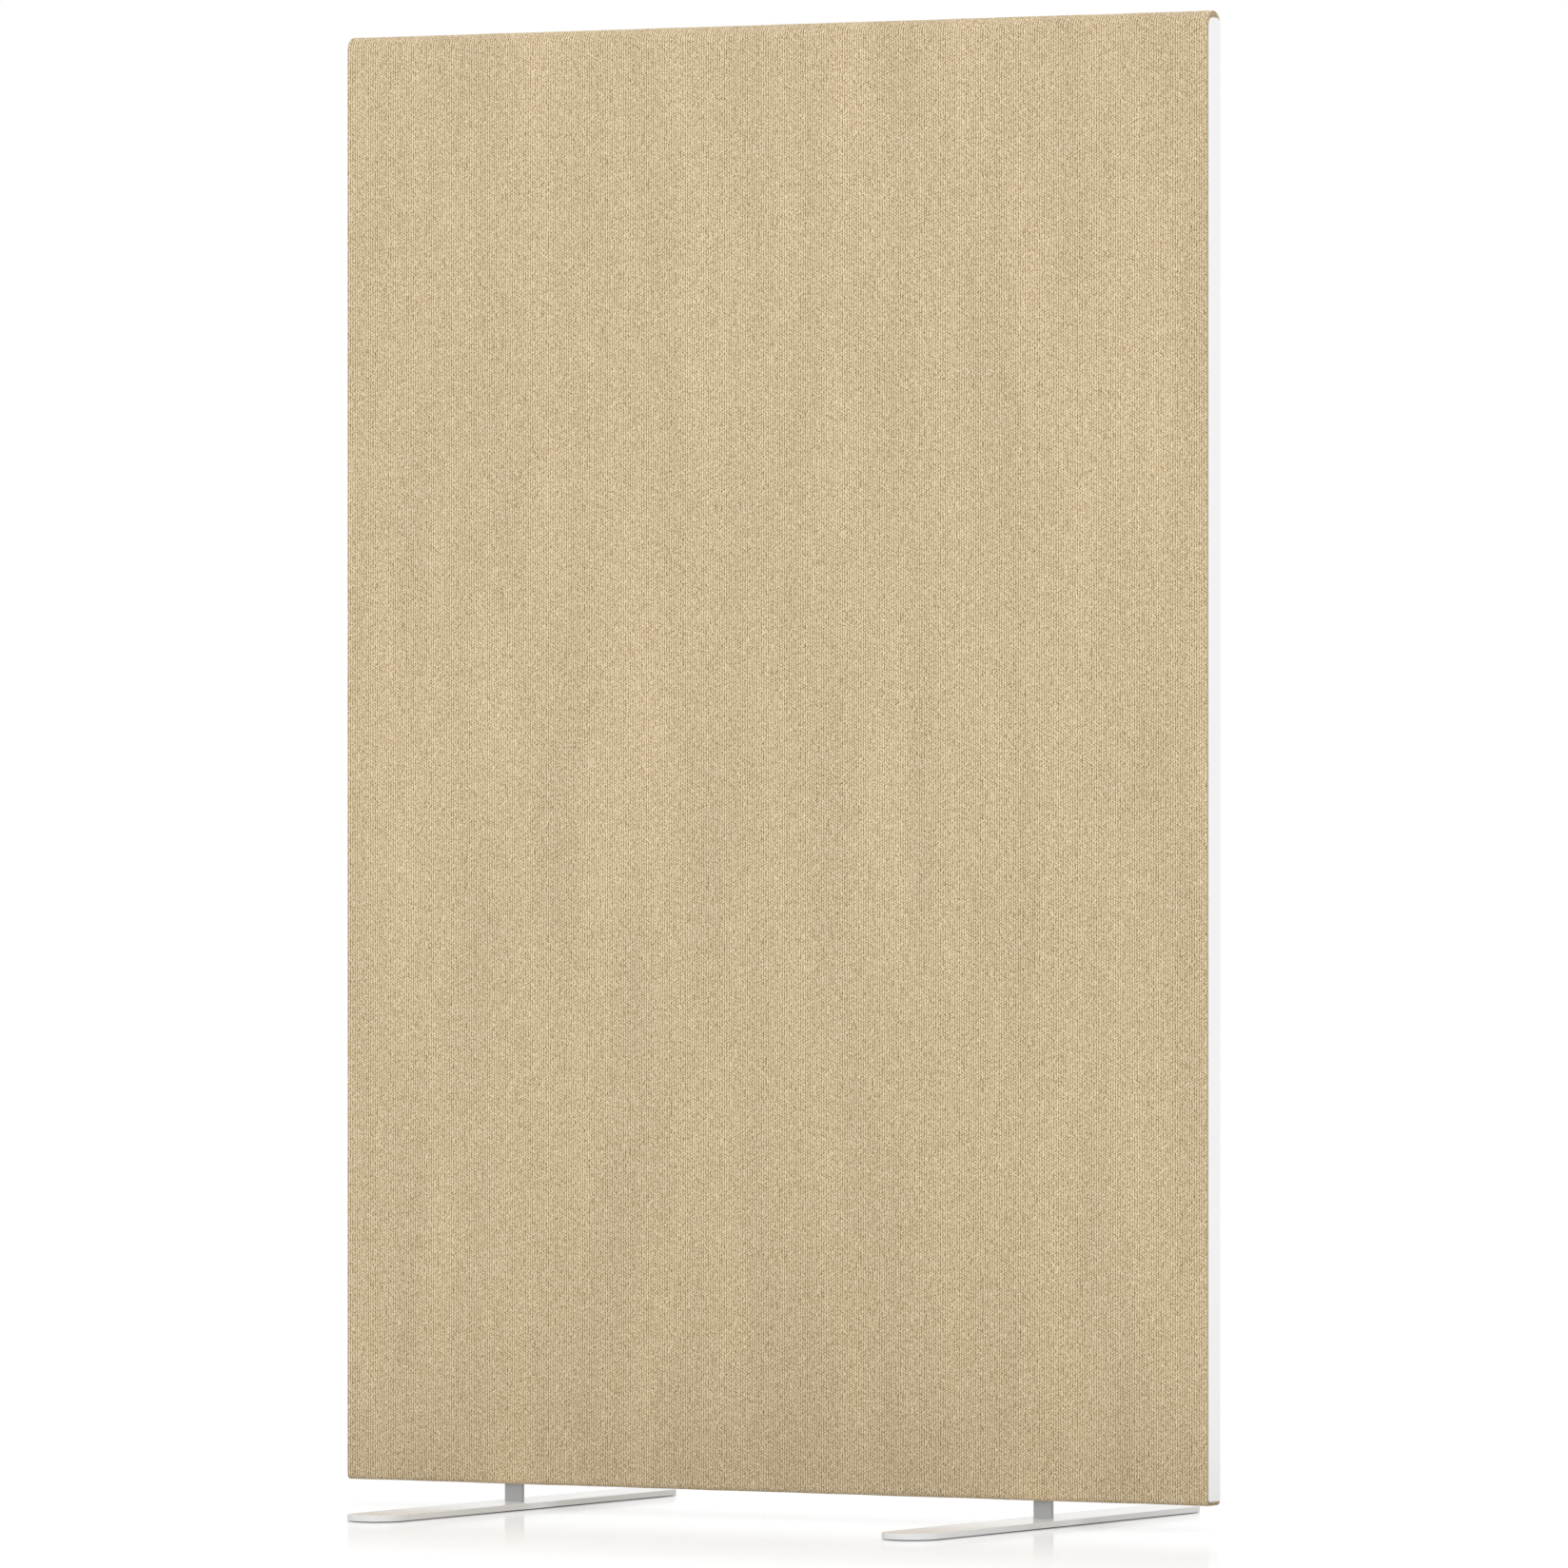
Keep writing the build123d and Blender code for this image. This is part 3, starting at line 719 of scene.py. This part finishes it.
def metalFinish(name, colour, roughness, lineScale):
    # drawn or turned metal, with fine lines in its gloss
    material, tree, shader = startMaterial(name, {"Metallic": 1.0})
    place = objectPlace(tree)
    swing = 0.07  # of the roughness from line to line
    lines = noise(tree, place, lineScale)
    feed(tree, shader, baseColor=shaded(tree, colour, drifting(tree, place, "metal")),
         roughness=rescale(tree, lines, *noiseRange, roughness - swing, roughness + swing),
         normal=raised(tree, lines, reliefs["metal"]))
    return material


def rubberFinish(clean, dusty, dustScale):
    # black rubber, duller where dust lies on it
    material, tree, shader = startMaterial("blackRubber", {"Specular IOR Level": 0.35})
    most = 0.35  # dust at its thickest
    dust = rescale(tree, noise(tree, objectPlace(tree), dustScale, 3.0), 0.35, 0.75, 0.0, most)
    feed(tree, shader, baseColor=mixed(tree, dust, clean, dusty),
         roughness=rescale(tree, dust, 0.0, most, 0.62, 0.82), normal=raised(tree, dust, reliefs["rubber"]))
    return material


def finishSolids():
    # which finish each carried-over node takes, by the end of its name
    v = finishValues
    upright, lying = (0.0, 0.0, 0.0), (0.0, math.pi / 2, 0.0)
    finishes = {
        "edge_strip": stripFinish(**v["strip"]),
        "foot": powderFinish("whitePowderPaint", **v["foot"]),
        "post": powderFinish("silverGreyPowderPaint", **v["post"]),
        "foot_pads": rubberFinish(**v["pad"]),
        "rail": timberFinish("planedTimberAcross", **v["pine"], turn=lying),
        "stile": timberFinish("planedTimberUpright", **v["pine"], turn=upright),
        "absorber": absorberFinish(**v["absorber"]),
        "frame_dowels": timberFinish("beechDowel", **v["beech"], turn=upright),
        "staples": metalFinish("galvanisedWire", **v["wire"]),
        "post_screws": metalFinish("zincPlatedSteel", **v["screw"]),
        "threaded_inserts": metalFinish("turnedBrass", **v["insert"]),
    }
    for name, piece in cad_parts.items():
        if piece.hide_render:
            continue
        ending = max((key for key in finishes if name.endswith(key)), key=len)
        piece.data.materials.clear()
        piece.data.materials.append(finishes[ending])


makeSleeve()
makeWadding()
finishSolids()
print("finishes given")


# Floor, light and camera

white = (1.0, 1.0, 1.0, 1.0)

stageValues = {
    "floorSide": 60.0,
    "floorColour": (0.96, 0.96, 0.96, 1.0),
    # the grey that only bounced light sees near the panel is painted shade for the lower cloth and the feet
    "nearShadeBounce": 0.38,  # what the floor gives back beside the panel, and far from it
    "farBounce": 0.90,
    "bounceReach": 0.80,
    "underBounce": 0.85,  # right under the panel, and gone at underReach
    "underReach": 0.07,
    "panelHalf": 0.5,
    "endSteepness": 4.0,  # how much sooner the floor clears past the panel's ends
    "glow": 1.05,  # light that the camera sees on the open floor
    "whiteShare": 0.95,  # how much of the open floor shows as plain white
    "contactReach": 0.09,  # how near something must stand to darken it
    "mirrorShare": 0.74,  # beside the panel, and down to mirrorLeast at mirrorReach
    "mirrorReach": 0.80,
    "mirrorLeast": 0.01,
    "mirrorRoughness": 0.12,
    "mirrorIOR": 1.45,
    "skyStrength": 0.68,
    "lamps": (  # energy, lean from straight down, turn round +Z, width of the light
        (0.72, 60.0, 10.0, 70.0),
        (0.28, 55.0, 60.0, 80.0),
        (0.50, 35.0, 165.0, 60.0),
        (0.10, 0.0, 0.0, 20.0),
    ),
}


def rayShare(tree, *kinds):
    # 1 for the named kinds of ray, else 0
    path = addNode(tree, "ShaderNodeLightPath").outputs
    share = path[kinds[0]]
    for kind in kinds[1:]:
        share = calc(tree, "MAXIMUM", share, path[kind])
    return share


def shaderMix(tree, amount, first, second):
    return addNode(tree, "ShaderNodeMixShader", {0: amount, 1: first, 2: second}).outputs[0]


def makeFloor():
    # White to the camera, and darker only close to what stands on it; a faint mirror image in front.
    # To the object it is a pale floor painted grey just beside the panel, which paints shade on the lower
    # cloth and the feet.
    # Its underside is see-through, so that views from below show the object.
    v = stageValues
    s = v["floorSide"] / 2
    square = np.array([(-s, -s, 0), (s, -s, 0), (s, s, 0), (-s, s, 0)])
    floor = meshPiece("studio_floor", square, [np.array([[0, 1, 2, 3]])])
    material = bpy.data.materials.new("whiteFloor")
    material.use_nodes = True
    tree = material.node_tree
    tree.nodes.clear()
    seen = rayShare(tree, "Is Camera Ray")

    # distance from the panel, counted steeper past its ends
    split = addNode(tree, "ShaderNodeSeparateXYZ", {0: objectPlace(tree)}).outputs
    beyondEnd = calc(tree, "SUBTRACT", calc(tree, "ABSOLUTE", split[0]), v["panelHalf"])
    beyondEnd = calc(tree, "MULTIPLY", calc(tree, "MAXIMUM", beyondEnd, 0.0), v["endSteepness"])
    squares = [calc(tree, "POWER", value, 2.0) for value in (beyondEnd, split[1])]
    away = calc(tree, "SQRT", calc(tree, "ADD", *squares))
    # painted shade: the floor that only light sees is grey near the panel, pale far from it
    bounce = rescale(tree, away, 0.0, v["bounceReach"], v["nearShadeBounce"], v["farBounce"])
    bounce = calc(tree, "MAXIMUM", bounce, rescale(tree, away, 0.0, v["underReach"], v["underBounce"], 0.0))
    grey = addNode(tree, "ShaderNodeCombineColor", {0: bounce, 1: bounce, 2: bounce}).outputs[0]
    colour = mixed(tree, seen, grey, v["floorColour"])
    matt = addNode(tree, "ShaderNodeBsdfDiffuse", {"Color": colour}).outputs[0]

    # plain white to the camera, except near what stands on it
    glowing = addNode(tree, "ShaderNodeEmission", {"Color": white, "Strength": v["glow"]}).outputs[0]
    contact = addNode(tree, "ShaderNodeAmbientOcclusion", {"Distance": v["contactReach"]}, samples=8)
    whiteness = calc(tree, "MULTIPLY", contact.outputs["AO"], seen)
    lit = shaderMix(tree, calc(tree, "MULTIPLY", whiteness, v["whiteShare"]), matt, glowing)

    # the mirror image fades away from the panel, and in steep views
    sockets = {"Color": white, "Roughness": v["mirrorRoughness"]}
    mirror = addNode(tree, "ShaderNodeBsdfGlossy", sockets).outputs[0]
    share = calc(tree, "ABSOLUTE", split[1])
    share = rescale(tree, share, 0.0, v["mirrorReach"], v["mirrorShare"], v["mirrorLeast"])
    facing = addNode(tree, "ShaderNodeFresnel", {"IOR": v["mirrorIOR"]}).outputs[0]
    above = shaderMix(tree, calc(tree, "MULTIPLY", share, facing), lit, mirror)
    fromBelow = calc(tree, "MULTIPLY", addNode(tree, "ShaderNodeNewGeometry").outputs["Backfacing"], seen)
    through = addNode(tree, "ShaderNodeBsdfTransparent").outputs[0]
    addNode(tree, "ShaderNodeOutputMaterial", {"Surface": shaderMix(tree, fromBelow, above, through)})
    floor.data.materials.append(material)


def makeWorld():
    # plain white to the camera and in reflections, dimmer as light
    world = bpy.data.worlds.new("studioWorld")
    scene.world = world
    world.use_nodes = True
    tree = world.node_tree
    tree.nodes.clear()
    strengths = (stageValues["skyStrength"], 1.0)
    sky, plain = (addNode(tree, "ShaderNodeBackground", {"Color": white, "Strength": s}) for s in strengths)
    share = rayShare(tree, "Is Camera Ray", "Is Glossy Ray", "Is Transmission Ray")
    both = shaderMix(tree, share, sky.outputs[0], plain.outputs[0])
    addNode(tree, "ShaderNodeOutputWorld", {"Surface": both})


def makeLamps():
    for number, (energy, lean, turn, width) in enumerate(stageValues["lamps"]):
        light = bpy.data.lights.new(f"softSun{number}", "SUN")
        light.energy = energy
        light.angle = math.radians(width)
        lamp = bpy.data.objects.new(f"softSun{number}", light)
        lamp.rotation_euler = (math.radians(lean), 0.0, math.radians(turn))
        scene.collection.objects.link(lamp)


cameraValues = {
    "place": (6.650, -11.502, 0.763),
    "turn": 30.0,  # degrees round the object, looking level
    "imageSide": 1648,
    "focalPixels": 13894,
    "horizonRow": 796.25,
    "sensor": 36.0,
    "farthest": 200.0,
}


def makeCamera():
    v = cameraValues
    lens = bpy.data.cameras.new("photoCamera")
    lens.sensor_width = v["sensor"]
    lens.lens = v["focalPixels"] / v["imageSide"] * v["sensor"]
    lens.shift_y = (v["horizonRow"] - v["imageSide"] / 2) / v["imageSide"]
    lens.clip_end = v["farthest"]
    camera = bpy.data.objects.new("photoCamera", lens)
    camera.location = v["place"]
    camera.rotation_euler = (math.pi / 2, 0.0, math.radians(v["turn"]))
    scene.collection.objects.link(camera)
    scene.camera = camera


makeFloor()
makeWorld()
makeLamps()
makeCamera()
scene.view_settings.view_transform = "Standard"
print("floor, light and camera set")
